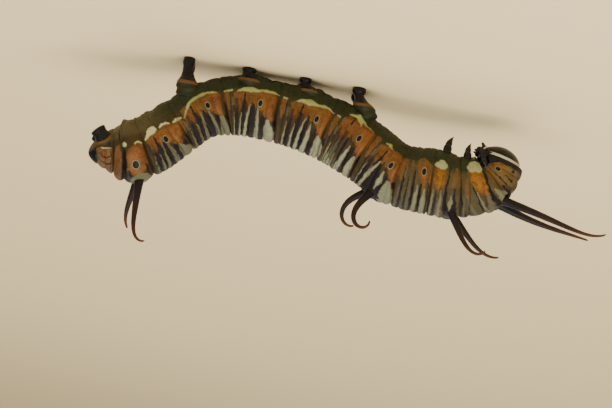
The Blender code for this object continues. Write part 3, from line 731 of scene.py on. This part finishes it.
def skin_material():
    sh = Shader("larva_skin")
    along = sh.field("along")
    wrinkle_at = sh.node("CombineXYZ", 0, None, X=along, Y=sh.math("MULTIPLY", sh.field("round"), 0.22),
                         Z=sh.math("MULTIPLY", sh.field("side"), 3.0))
    edge = sh.uneven(3600, 3.0, 0.24)
    blotch = sh.noise(700, 3.0)

    def tone(low, high):
        return sh.mix(blotch, low, high)

    def blend(base, other, value, *ramp):
        return sh.mix(sh.ramp(value, *ramp), base, other)

    def paint(name, soft, layer):
        return sh.mix(sh.mask(name, edge, soft), colour, layer)

    brown = tone((0.02, 0.013, 0.005), (0.078, 0.049, 0.015))
    bronze = tone((0.042, 0.032, 0.012), (0.12, 0.09, 0.036))
    brown = blend(brown, bronze, along, 35.5, 38.0)
    # Belly: its own olive and tan, partly its real colour and partly made darker as painted shade for the
    # underside
    olive = tone((0.01, 0.0145, 0.006), (0.034, 0.045, 0.018))
    tan = tone((0.052, 0.042, 0.017), (0.11, 0.088, 0.04))
    belly = blend(tan, olive, along, 6.5, 10.5)
    frayed_up = sh.math("ADD", sh.field("up"), sh.math("MULTIPLY", edge, 40.0))
    colour = blend(belly, brown, frayed_up, -24.0, -10.0)
    rust = tone((0.085, 0.038, 0.008), (0.19, 0.095, 0.024))
    front_rust = tone((0.09, 0.057, 0.015), (0.2, 0.13, 0.042))
    rust = blend(rust, front_rust, along, 45.9, 46.4)
    tail_rust = tone((0.115, 0.06, 0.018), (0.215, 0.12, 0.042))
    rust = blend(rust, tail_rust, along, 2.5, 3.7, 1.0, 0.0)
    orange = blend((0.125, 0.044, 0.009), (0.235, 0.09, 0.019), blotch, 0.3, 0.7)
    golden = blend((0.19, 0.075, 0.009), (0.31, 0.135, 0.019), blotch, 0.3, 0.7)
    orange = blend(orange, golden, along, 38.8, 40.0)
    orange = sh.mix(sh.math("MULTIPLY", sh.field("glow"), 0.5), orange, (0.33, 0.145, 0.03))
    orange = blend(orange, (0.075, 0.028, 0.005), sh.field("orange"), 0.0, 0.45, 0.5, 0.0)
    orange = blend(orange, (0.38, 0.18, 0.04), sh.noise(9000, 3.0), 0.45, 0.75, 0.0, 0.3)
    stain = sh.ramp(sh.noise(1500, 4.0, 0.65), 0.52, 0.64, 0.0, 0.65)
    orange = sh.mix(stain, orange, (0.1, 0.035, 0.007))
    colour = paint("rust", 0.07, rust)
    colour = paint("orange", 0.06, orange)
    colour = paint("dark", 0.1, tone((0.018, 0.012, 0.006), (0.05, 0.032, 0.014)))
    black = tone((0.007, 0.005, 0.005), (0.02, 0.013, 0.01))
    colour = paint("black", 0.035, black)
    white = tone((0.22, 0.22, 0.115), (0.37, 0.37, 0.215))
    white = blend(white, (0.115, 0.112, 0.056), along, 15.4, 16.0, 0.85, 0.0)
    white = blend(white, (0.11, 0.105, 0.05), along, 35.05, 35.5, 0.0, 0.5)
    white = blend(white, (0.13, 0.105, 0.05), sh.field("white"), 0.0, 0.16, 0.6, 0.0)
    white = sh.mix(sh.math("MULTIPLY", stain, 0.5), white, (0.16, 0.12, 0.06))
    colour = paint("white", 0.035, white)
    grey = tone((0.08, 0.074, 0.034), (0.155, 0.146, 0.078))
    grey = blend(grey, (0.062, 0.056, 0.026), along, 37.5, 37.9, 0.5, 0.0)
    colour = paint("grey", 0.08, grey)
    colour = paint("mark", 0.035, black)
    cream = tone((0.225, 0.29, 0.085), (0.38, 0.445, 0.165))
    cream = blend(cream, (0.62, 0.6, 0.32), along, 9.0, 11.0, 0.8, 0.0)
    cream = blend(cream, (0.38, 0.415, 0.235), along, 38.0, 40.0, 0.0, 0.75)
    cream = blend(cream, (0.2, 0.15, 0.04), sh.field("cream"), 0.0, 0.15, 0.6, 0.0)
    colour = paint("cream", 0.05, cream)
    # Painted shade: the colour darkens deeper in the folds and creases, a little less on the whites
    painted_fold_shade = sh.ramp(sh.field("hollow"), 0.0, 1.0, 1.0, 0.55)
    kept = sh.math("MULTIPLY", sh.mask("white", edge, 0.035), 0.55)
    painted_fold_shade = sh.math("MULTIPLY_ADD", kept, sh.math("SUBTRACT", 1.0, painted_fold_shade), painted_fold_shade)
    speck = sh.ramp(sh.noise(14000, 2.0), 0.3, 0.7, 0.68, 1.02)
    value = sh.math("MULTIPLY", painted_fold_shade, speck)
    colour = sh.node("VectorMath", 0, {"operation": "SCALE"}, i0=colour, Scale=value)

    wrinkles = sh.noise(9.0, 4.0, 0.6, wrinkle_at)
    normal = sh.bump(wrinkles, 0.0001, 0.75)
    normal = sh.bump(sh.pits(9000), 0.000015, 0.5, normal)
    rough = sh.ramp(sh.noise(5000, 3.0), 0.3, 0.7, 0.42, 0.6)
    return sh.flesh(colour, rough, normal, 0.06, (1.0, 0.45, 0.2), 0.0003)


def cuticle_material(name, dark, light, rough_low, rough_high, coat=0.06,
                     mark=((0.36, 0.36, 0.25), (0.55, 0.54, 0.4))):
    """Hard dark cuticle with fine pits and faint mottling; the pale field paints bands on it."""
    sh = Shader(name)
    blotch = sh.noise(1500, 4.0)
    colour = sh.mix(sh.ramp(blotch, 0.3, 0.75), dark, light)
    pale = sh.mask("pale", sh.uneven(5000, 2.0, 0.08), 0.03)
    colour = sh.mix(pale, colour, sh.mix(blotch, *mark))
    normal = sh.bump(sh.pits(7000), 0.00002, 0.35)
    normal = sh.bump(sh.noise(2500, 4.0), 0.00003, 0.3, normal)
    rough = sh.ramp(sh.noise(4000, 3.0), 0.3, 0.7, rough_low, rough_high)
    return sh.finish(colour, rough, normal, Coat_Weight=coat, Coat_Roughness=0.15, Specular_IOR_Level=0.16)


def filament_material():
    """Dark fleshy filament that turns reddish brown towards its thin end."""
    sh = Shader("larva_filament")
    share = sh.field("share")
    blotch = sh.noise(1800, 4.0)
    base = sh.mix(blotch, (0.004, 0.003, 0.0035), (0.013, 0.009, 0.009))
    middle = sh.mix(blotch, (0.012, 0.006, 0.005), (0.032, 0.014, 0.011))
    tip = sh.mix(blotch, (0.045, 0.015, 0.008), (0.11, 0.036, 0.017))
    colour = sh.mix(sh.ramp(share, 0.15, 0.55), base, middle)
    colour = sh.mix(sh.ramp(share, 0.6, 0.98, 0.0, 0.9), colour, tip)
    rings = sh.node("TexWave", "Fac", {"wave_type": "BANDS", "bands_direction": "X"}, Scale=14.0,
                    Distortion=1.5, Detail=2.0, Vector=sh.node("CombineXYZ", 0, None, X=share))
    normal = sh.bump(rings, 0.00003, 0.4)
    normal = sh.bump(sh.noise(8000, 3.0), 0.00002, 0.5, normal)
    rough = sh.ramp(blotch, 0.3, 0.7, 0.32, 0.5)
    return sh.flesh(colour, rough, normal, 0.04, (1.0, 0.3, 0.15), 0.0004)


def proleg_material():
    """Olive fleshy stump with an orange-brown edge, a glossy black shield and a dark sole."""
    sh = Shader("larva_proleg")
    blotch = sh.noise(900, 4.0)
    edge = sh.uneven(3000, 2.0, 0.14)
    olive = sh.mix(blotch, (0.0105, 0.0125, 0.005), (0.031, 0.036, 0.0135))
    orange = sh.mix(blotch, (0.075, 0.033, 0.009), (0.17, 0.075, 0.024))
    black = sh.mix(blotch, (0.003, 0.003, 0.0035), (0.011, 0.01, 0.01))
    colour = sh.mix(sh.mask("orange", edge, 0.07), olive, orange)
    shield = sh.mask("black", edge, 0.04)
    colour = sh.mix(shield, colour, black)
    rough = sh.ramp(sh.noise(4000, 3.0), 0.3, 0.7, 0.5, 0.62)
    rough = sh.math("SUBTRACT", rough, sh.math("MULTIPLY", shield, 0.26))
    normal = sh.bump(sh.noise(2600, 4.0), 0.00005, 0.5)
    normal = sh.bump(sh.pits(8000), 0.000015, 0.4, normal)
    return sh.flesh(colour, rough, normal, 0.04, (1.0, 0.5, 0.25), 0.0004)


def floor_material():
    sh = Shader("floor")
    tone = sh.mix(sh.noise(9, 4.0), (0.96, 0.74, 0.37), (0.98, 0.78, 0.41))
    normal = sh.bump(sh.noise(900, 4.0), 0.0001, 0.1)
    return sh.finish(tone, 0.8, normal)


SKIN = skin_material()
HEAD = cuticle_material("larva_head", (0.002, 0.0022, 0.003), (0.006, 0.006, 0.007), 0.16, 0.26, 0.03)
LEG = cuticle_material("larva_leg", (0.003, 0.003, 0.004), (0.01, 0.009, 0.008), 0.26, 0.42,
                       mark=((0.05, 0.04, 0.03), (0.1, 0.08, 0.05)))
PORE = cuticle_material("larva_spiracle", (0.002, 0.002, 0.003), (0.007, 0.006, 0.005), 0.45, 0.6, 0.0,
                        ((0.13, 0.11, 0.06), (0.23, 0.2, 0.12)))
MOUTH = cuticle_material("larva_mouth", (0.01, 0.006, 0.005), (0.035, 0.02, 0.012), 0.24, 0.42)
FILAMENT = filament_material()
PROLEG = proleg_material()


# Skin
def add_skin():
    s = np.linspace(TAIL_START, END, RINGS)
    angle = np.linspace(0, 360, SIDES, endpoint=False)
    s2, angle2 = np.meshgrid(s, angle, indexing="ij")
    points = skin_points(s2, angle2)
    rolled = []
    centre, forward, _ = axis(END)
    last = points[-1]
    for i in range(1, COLLAR_RINGS + 1):
        turn = COLLAR_TURN * i / COLLAR_RINGS
        shrink = 1 - COLLAR_DRAW * (1 - math.cos(turn))
        rolled.append(centre + (last - centre) * shrink + forward * COLLAR_REACH * math.sin(turn))
    points = np.concatenate((points, np.array(rolled)))
    s2 = np.concatenate((s2, np.repeat(s2[-1:], COLLAR_RINGS, 0)))
    angle2 = np.concatenate((angle2, np.repeat(angle2[-1:], COLLAR_RINGS, 0)))
    _, hollow, up, left = relief(s2, angle2)
    fields = pattern(s2, up, left)
    # hollow is the depth in the folds, which the skin material paints as shade
    fields.update(along=s2, round=up * ARC, up=up, side=left, hollow=hollow)
    faces = ring_faces(len(points), SIDES)
    return piece("skin", points, faces, SKIN, [row[0] for row in TRUNK], fields)


# Filaments
def add_filament(name, row):
    segment, share, angle, length, lean, bend, hook, sharpness, splay, girth = row
    count, sides = 220, 28
    side = -1 if name.endswith("left") else 1
    f = (np.arange(count) + 0.5) / count
    heading = np.radians(lean + bend * f + hook * f ** sharpness)
    out = math.radians(splay)
    moves = np.stack((-np.sin(heading) * math.cos(out), np.full(count, side * math.sin(out)),
                      np.cos(heading) * math.cos(out)), -1) * (length / count)
    path = walk(root_point(segment, share, angle, FILAMENT_DEPTH, side), moves)
    f = np.linspace(0, 1, count + 1)
    radii = FILAMENT_TIP + (FILAMENT_RADIUS * girth - FILAMENT_TIP) * (1 - f ** FILAMENT_TAPER)
    radii = radii + FILAMENT_FLARE * np.exp(-f * length / FLARE_LENGTH)
    radii = radii * (1 + 0.025 * wave(f * 60, f * 0, f * 0, 11)) * np.sqrt(np.clip((1 - f) * 40 + 0.02, 0, 1))
    share = np.repeat(f[:, None], sides, 1)
    name = "filament_" + name
    return piece(name, tube(path, radii, sides), ring_faces(count + 1, sides), FILAMENT, [name],
                 {"share": share})


# Prolegs: the outline by level, as shares of the base radius
PROFILE = (
    (0.0, 0.3), (0.004, 0.5), (0.03, 0.57), (0.1, 0.6), (0.17, 0.58), (0.215, 0.5), (0.26, 0.5), (0.36, 0.56),
    (0.45, 0.65), (0.52, 0.77), (0.57, 0.91), (0.61, 1.03), (0.65, 1.1), (0.75, 1.12), (0.84, 1.1),
    (0.92, 1.03), (1.0, 0.9),
)
# The last ring of a proleg, inside the trunk: its level and its share of the radius
TOP_LEVEL = 1.3
TOP_SHARE = 0.7
# Hooks under the soles: outward and upward steps and radii, as shares of a hook's size
HOOK_PATH = ((0, 0), (0.7, -0.3), (1.25, -0.8), (1.3, -1.2), (0.9, -1.35))
HOOK_RADII = (0.3, 0.28, 0.22, 0.14, 0.03)
HOOKS = 22
HOOK_SIZES = (0.1, 0.13)
HOOK_SWEEP = 140
HOOK_RING = 0.72
HOOK_ROOT = 0.19


def crochets(foot, radius, side, axes=np.eye(3)):
    """Hooks in a curved band along the inner edge of a sole; the last axis points up the proleg."""
    parts = []
    for i in range(HOOKS):
        turn = math.radians(HOOK_SWEEP * (i / (HOOKS - 1) - 0.5))
        out = np.array((math.sin(turn), -side * math.cos(turn), 0.0)) @ axes
        root = foot + out * radius * HOOK_RING + axes[2] * HOOK_ROOT
        size = HOOK_SIZES[i % 2]
        path = [root + out * size * a + axes[2] * b * size for a, b in HOOK_PATH]
        parts.append((tube(path, np.array(HOOK_RADII) * size, 5), ring_faces(5, 5)))
    return parts


def add_stump(name, rings, hooks, black, orange):
    """A proleg of rings and hooks, with the fields of its black shield and its orange edge."""
    points, faces = join([(rings, ring_faces(*rings.shape[:2]))] + hooks)
    rest = len(points) - rings.shape[0] * rings.shape[1]
    fields = {}
    for key, values, other in (("black", black, 1.0), ("orange", orange, -1.0)):
        fields[key] = np.append(np.broadcast_to(values, rings.shape[:2]), np.full(rest, other))
    return piece(name, points, faces, PROLEG, [name], fields)


def add_proleg(segment, foot_x, reach, radius, lean, side):
    levels, sides = 90, 56
    middle = axis(place(segment, 0.5))[0]
    foot = np.array((foot_x, TAIL[1] + side * PROLEG_SPREAD, 0.0))
    level = np.linspace(0, 1, levels) ** 1.15
    leaning = lean * np.maximum(0, level - PROLEG_WAIST) / (1 - PROLEG_WAIST)
    path = [foot + np.array((-shift, 0, value * reach)) for shift, value in zip(leaning, level)]
    share = rounded(level, PROFILE)
    share[0] = PROFILE[0][1]
    top = path[-1] * 0.6 + middle * 0.4
    top[1] = foot[1]
    path.append(top)
    points = tube(path, np.append(share, TOP_SHARE) * radius, sides)
    turns = round_turns(sides)
    lift = np.append(level, TOP_LEVEL)[:, None]
    outward = side * np.cos(turns)
    fold = PROLEG_FOLD * np.sin(lift * reach * PROLEG_FOLDS + 2 * np.sin(turns)) * fade(lift, FOLD_LEVEL, 0.1)
    points = swell(path, points, fold)
    points[..., 2] = np.array(path)[:, None, 2]
    tilt = EDGE_TILT * outward
    black = np.where(lift < SOLE_END, 1.0, (SHIELD_END + tilt - lift) * reach)
    orange = (EDGE_HALF - np.abs(lift - EDGE_LEVEL - tilt) * reach) * (0.7 + 0.4 * outward)
    name = "proleg_%s_%s" % (segment, SIDE_NAMES[side])
    return add_stump(name, points, crochets(foot, 0.6 * radius, side), black, orange)


# Anal prolegs: the radius by place, from the top down
ANAL_PROFILE = (
    (0.0, 0.85), (0.16, 0.92), (0.33, 0.95), (0.5, 0.92), (0.62, 0.85), (0.74, 0.74), (0.82, 0.79),
    (0.9, 0.84), (0.95, 0.81), (0.98, 0.66), (1.0, 0.36),
)


def add_anal_proleg(side):
    count, sides = 110, 56
    start, foot = (np.array((x, TAIL[1] + side * y, z)) for x, y, z in (ANAL_PROLEG_START, ANAL_PROLEG_FOOT))
    f = 1 - (1 - np.linspace(0, 1, count)) ** 1.3
    path = start + (foot - start) * f[:, None]
    points = tube(path, rounded(f, ANAL_PROFILE), sides)
    turns = round_turns(sides)
    along = f[:, None]
    fold = ANAL_FOLD * np.sin(along * ANAL_FOLDS + 1.5 * np.sin(turns)) * fade(-along, -0.5, 0.1)
    points = swell(path, points, fold)
    up = (start - foot) / np.linalg.norm(start - foot)
    across = SIDEWAYS - up * up[1]
    across /= np.linalg.norm(across)
    hooks = crochets(foot, 0.75, side, np.array((np.cross(across, up), across, up)))
    tilt = ANAL_EDGE_TILT * np.cos(turns * 2)
    black = (along - ANAL_SHIELD_START + tilt) * 2.6
    orange = ANAL_EDGE_HALF - np.abs(along - ANAL_EDGE_LEVEL + tilt)
    return add_stump("anal_proleg_" + SIDE_NAMES[side], points, hooks, black, orange)


# True legs: the outline by place, as shares of the base radius, and the joints
LEG_PROFILE = (
    (0.0, 1.1), (0.36, 1.12), (0.4, 0.98), (0.44, 1.05), (0.56, 0.96), (0.6, 0.74), (0.64, 0.8), (0.76, 0.66),
    (0.8, 0.48), (0.84, 0.46), (0.9, 0.26), (1.0, 0.04),
)
LEG_JOINTS = (0.4, 0.6, 0.8)


def add_leg(row, side):
    segment, share, angle, lean, slant, depth, length, radius = row
    count, sides = 120, 32
    f = (np.arange(count) + 1) / count
    heading = np.radians(lean + LEG_CURL * f * f)
    out = np.radians(slant - LEG_INWARD * f)
    moves = np.stack((-np.sin(heading), side * np.sin(out), -np.cos(heading)), -1) * length / count
    path = walk(root_point(segment, share, angle, depth, side), moves)
    f = np.linspace(0, 1, count + 1)
    points = tube(path, radius * rounded(f, LEG_PROFILE), sides)
    joint = np.min([np.abs(f - at) for at in LEG_JOINTS], axis=0)
    pale = np.repeat(((0.006 - joint) * 3 - 0.02)[:, None], sides, 1)
    name = "leg_%s_%s" % (segment, SIDE_NAMES[side])
    return piece(name, points, ring_faces(count + 1, sides), LEG, [name], {"pale": pale})


# Head
def head_axes():
    _, forward, back = axis(END)
    return np.array((forward, SIDEWAYS, back))


def head_points(forward_by, side_by, up_by):
    """Points ahead of, beside and above the middle of the front border."""
    return axis(END)[0] + np.stack(np.broadcast_arrays(forward_by, side_by, up_by), -1) @ head_axes()


def ball(polar, sides):
    """Forward, side and up parts of the points of a unit ball, ring by ring."""
    polar = polar[:, None]
    turn = round_turns(sides)
    return np.cos(polar) + 0 * turn, np.sin(polar) * np.cos(turn), np.sin(polar) * np.sin(turn)


def add_head():
    """The head capsule, with its cleft, its brows, the grooves beside the frons and two white arcs."""
    rows, sides = 180, 240
    f, y, u = ball(np.linspace(0.004, math.pi * 0.8, rows), sides)
    cleft = bell(y, 0, 0.07) * np.clip(u * 1.4 + 0.1, 0, 1)
    front = np.clip(f, 0, 1)
    brow = bell(np.abs(y), 0.42, 0.3) * front
    frons = bell(np.abs(y), 0.18 + 0.22 * (0.25 - u), 0.035) * front * (u < 0.25) * (u > -0.75)
    size = 1 - 0.05 * cleft + 0.03 * brow - 0.035 * frons
    size = size + uneven(y, u, f, HEAD_WAVES) + uneven(y, u, f, FINE_HEAD_WAVES)
    ahead, aside, above = (part * radius * size for part, radius in zip((f, y, u), HEAD_RADII))
    points = head_points(ahead, aside, above - HEAD_DROP)
    outer = np.minimum(0.08 - np.abs(f - 0.25 + 0.05 * u), (u + 0.5) * 0.4)
    inner = 0.045 - np.abs(np.hypot(y * 1.05, u + 0.42) - 0.5)
    inner = np.minimum(inner, np.minimum((u + 0.6) * 0.5, (f - 0.3) * 0.5))
    pale = np.maximum(outer, inner) * 2.0
    return piece("head", points, ring_faces(rows, sides), HEAD, ["head"], {"pale": pale})


def bead(centre, radii, axes, rows=14, sides=18):
    """A rounded bead with its radii along three directions."""
    points = np.stack(ball(np.linspace(0.02, math.pi - 0.02, rows), sides), -1)
    return centre + (points * np.asarray(radii)) @ axes, ring_faces(rows, sides)


def no_pale(points):
    return {"pale": np.full(len(points), -1.0)}


# Eyes: turn and distance from the middle of their curve, that middle ahead and above, and their radius
EYES = ((200, 0.17), (150, 0.17), (100, 0.17), (50, 0.17), (0, 0.17), (0, 0.03))
EYE_MIDDLE = (0.42, -0.55)
EYE_RADIUS = 0.1


def add_eyes():
    """Six small simple eyes in a curve on each side of the head."""
    parts = []
    for side in (-1, 1):
        for turn, around in EYES:
            turn = math.radians(turn)
            forward = EYE_MIDDLE[0] + around * math.cos(turn)
            up = EYE_MIDDLE[1] + around * math.sin(turn)
            out = math.sqrt(1 - up * up - forward * forward)
            ahead, aside, above = np.array((forward, side * out, up)) * HEAD_RADII
            spot = head_points(ahead, aside, above - HEAD_DROP)
            parts.append(bead(spot, (EYE_RADIUS,) * 3, head_axes(), 10, 14))
    points, faces = join(parts)
    return piece("eyes", points, faces, MOUTH, (), no_pale(points))


def add_mouthparts():
    """Upper lip, jaws, lower lip with its feelers and the silk spigot."""
    axes = head_axes()
    parts = [bead(head_points(0.95, 0.0, -2.55), (0.42, 0.62, 0.26), axes)]
    for side in (-1, 1):
        parts.append(bead(head_points(0.72, side * 0.33, -2.85), (0.36, 0.34, 0.34), axes))
        palp = head_points((0.4, 0.45, 0.5, 0.55), side * np.array((0.5, 0.56, 0.6, 0.62)),
                           (-2.75, -3.0, -3.2, -3.35))
        parts.append((tube(palp, (0.2, 0.17, 0.12, 0.05), 14), ring_faces(4, 14)))
    parts.append(bead(head_points(0.3, 0.0, -2.85), (0.34, 0.42, 0.32), axes))
    spigot = head_points((0.3, 0.33, 0.36), 0.0, (-3.0, -3.2, -3.4))
    parts.append((tube(spigot, (0.12, 0.09, 0.04), 12), ring_faces(3, 12)))
    points, faces = join(parts)
    return piece("mouthparts", points, faces, MOUTH, ["mouthparts"], no_pale(points))


# Antennae: the radius by place
ANTENNA_PROFILE = (
    (0.0, 0.34), (0.3, 0.3), (0.34, 0.22), (0.4, 0.24), (0.62, 0.22), (0.66, 0.15), (0.72, 0.17), (0.9, 0.15),
    (0.95, 0.08), (1.0, 0.03),
)


def add_antenna(side):
    count, sides = 40, 20
    f = np.linspace(0, 1, count)
    path = head_points(0.55 + 0.8 * f, side * (0.98 + 0.32 * f), -1.85 - 1.0 * f)
    points = tube(path, np.interp(f, *zip(*ANTENNA_PROFILE)), sides)
    pale = np.repeat((0.06 - np.abs(f - 0.5))[:, None], sides, 1)
    name = "antenna_" + SIDE_NAMES[side]
    return piece(name, points, ring_faces(count, sides), MOUTH, [name], {"pale": pale})


# Spiracles: rings as shares of the hole's size, and their height over the skin
PORE_RINGS = (
    (0.45, 0.02), (0.8, 0.025), (1.05, 0.03), (1.2, 0.05), (1.3, 0.075), (1.48, 0.08), (1.66, 0.045),
    (1.82, -0.05),
)
# The pale rim: the place of its middle and half its width
PORE_RIM = (1.48, 0.24)


def add_spiracles():
    """Oval breathing holes: a pale raised rim round a dark sieve."""
    parts = []
    rings, lift = np.array(PORE_RINGS).T[..., None]
    turns = round_turns(36)
    for s, up, long_half, wide_half in SPIRACLES:
        for side in (-1, 1):
            angle = up + long_half * rings * np.sin(turns) / ARC
            if side > 0:
                angle = 180 - angle
            points = skin_points(s + wide_half * rings * np.cos(turns), angle, lift + 0.01)
            if side > 0:
                points = points[:, ::-1]
            parts.append((points, ring_faces(len(points), len(turns), flip=side < 0)[:-1]))
    points, faces = join(parts)
    at, half = PORE_RIM
    pale = np.tile(np.repeat((half - np.abs(rings[:, 0] - at)) * 0.5, len(turns)), len(parts))
    return piece("spiracles", points, faces, PORE, (), {"pale": pale})


# Anal plate: where it starts and ends along the trunk and round it, and the width of its sloping edges
PLATE_ALONG = (0.03, 0.95)
PLATE_ANGLES = (-22, 202)
PLATE_SLOPES = (0.2, 20)
# Heights over the skin: the plate's outer edge, its rise from there, its inner face
PLATE_SUNK = -0.12
PLATE_THICK = 0.2
PLATE_BOTTOM = -0.16


def add_anal_plate():
    """Horny plate over the end of the tail."""
    rows, columns = 60, 90
    s = np.linspace(*PLATE_ALONG, rows)[:, None]
    angle = np.linspace(*PLATE_ANGLES, columns)[None, :]
    inward = np.minimum(angle - PLATE_ANGLES[0], PLATE_ANGLES[1] - angle) / PLATE_SLOPES[1]
    edge = np.clip(np.minimum((PLATE_ALONG[1] - s) / PLATE_SLOPES[0], inward), 0, 1)
    outer = skin_points(s, angle, PLATE_SUNK + PLATE_THICK * np.sqrt(edge))
    inner = skin_points(s, angle, PLATE_BOTTOM)
    points = np.concatenate((outer.reshape(-1, 3), inner.reshape(-1, 3)))
    faces = []
    total = rows * columns
    grid = np.arange(total).reshape(rows, columns)
    quads = np.stack((grid[:-1, :-1], grid[:-1, 1:], grid[1:, 1:], grid[1:, :-1]), -1).reshape(-1, 4)
    for quad in quads.tolist():
        faces.append(tuple(quad[::-1]))
        faces.append(tuple(index + total for index in quad))
    rim = np.concatenate((grid[0], grid[1:, -1], grid[-1, -2::-1], grid[-2:0:-1, 0])).tolist()
    for a, b in zip(rim, rim[1:] + rim[:1]):
        faces.append((a, b, b + total, a + total))
    return piece("anal_plate", points, faces, HEAD, (), no_pale(points))


add_skin()
for filament, row in FILAMENTS.items():
    add_filament(filament, row)
for side in (-1, 1):
    for row in PROLEGS:
        add_proleg(*row, side)
    add_anal_proleg(side)
    for row in LEGS:
        add_leg(row, side)
    add_antenna(side)
add_head()
add_eyes()
add_mouthparts()
add_spiracles()
add_anal_plate()


# Floor, light and camera
def add_floor():
    half = 1.5
    corners = [(x * half, y * half, 0) for x, y in ((-1, -1), (1, -1), (1, 1), (-1, 1))]
    data = bpy.data.meshes.new("floor")
    data.from_pydata(corners, [], [(0, 1, 2, 3)])
    data.materials.append(floor_material())
    floor = link(bpy.data.objects.new("floor", data))


# Lights: name, place and size in millimetres, power, colour
LIGHTS = (
    ("key", (-60, -130, 190), 160, 0.5, (1.0, 0.97, 0.93)),
    ("fill", (150, -160, 60), 200, 0.16, (0.95, 0.98, 1.0)),
    ("back", (20, 150, 160), 160, 0.12, (1.0, 0.96, 0.9)),
    ("top", (0, -20, 240), 220, 0.2, (1.0, 0.98, 0.95)),
)
LIGHT_AIM = (0, 0, 7)


def add_light(name, place_mm, size_mm, power, colour):
    data = bpy.data.lights.new(name, "AREA")
    data.size = size_mm * MM
    data.energy = power
    data.color = colour
    light = link(bpy.data.objects.new(name, data))
    light.location = Vector(place_mm) * MM
    aim = Vector(LIGHT_AIM) * MM
    light.rotation_euler = (aim - light.location).to_track_quat("-Z", "Y").to_euler()


# The picture's middle on the larva's middle plane, the floor line's slope in it, and the view
TARGET = (4.08, -1.72, 13.09)
ELEVATION = 12.0
FLOOR_SLOPE = 0.18
LENS = 250.0
SENSOR = 36.0
PIXEL = 0.106
WIDTH = 612


def add_camera():
    data = bpy.data.cameras.new("camera")
    data.lens = LENS
    data.sensor_width = SENSOR
    data.clip_start = 0.01
    data.clip_end = 10
    camera = link(bpy.data.objects.new("camera", data))
    rise = math.radians(ELEVATION)
    tilt = math.atan(FLOOR_SLOPE)
    away = Vector((0, -math.cos(rise), math.sin(rise)))
    level = Vector((-1, 0, 0))
    upright = Vector((0, math.sin(rise), math.cos(rise)))
    right = level * math.cos(tilt) - upright * math.sin(tilt)
    top = -level * math.sin(tilt) - upright * math.cos(tilt)
    distance = WIDTH * PIXEL * LENS / SENSOR
    turn = Matrix((right, top, away)).transposed().to_4x4()
    camera.matrix_world = Matrix.Translation((Vector(TARGET) + away * distance) * MM) @ turn
    bpy.context.scene.camera = camera


def add_world():
    world = bpy.data.worlds.new("world")
    world.use_nodes = True
    background = world.node_tree.nodes["Background"]
    background.inputs["Color"].default_value = (1.0, 0.96, 0.9, 1)
    background.inputs["Strength"].default_value = 0.45
    bpy.context.scene.world = world


add_floor()
for row in LIGHTS:
    add_light(*row)
add_camera()
add_world()
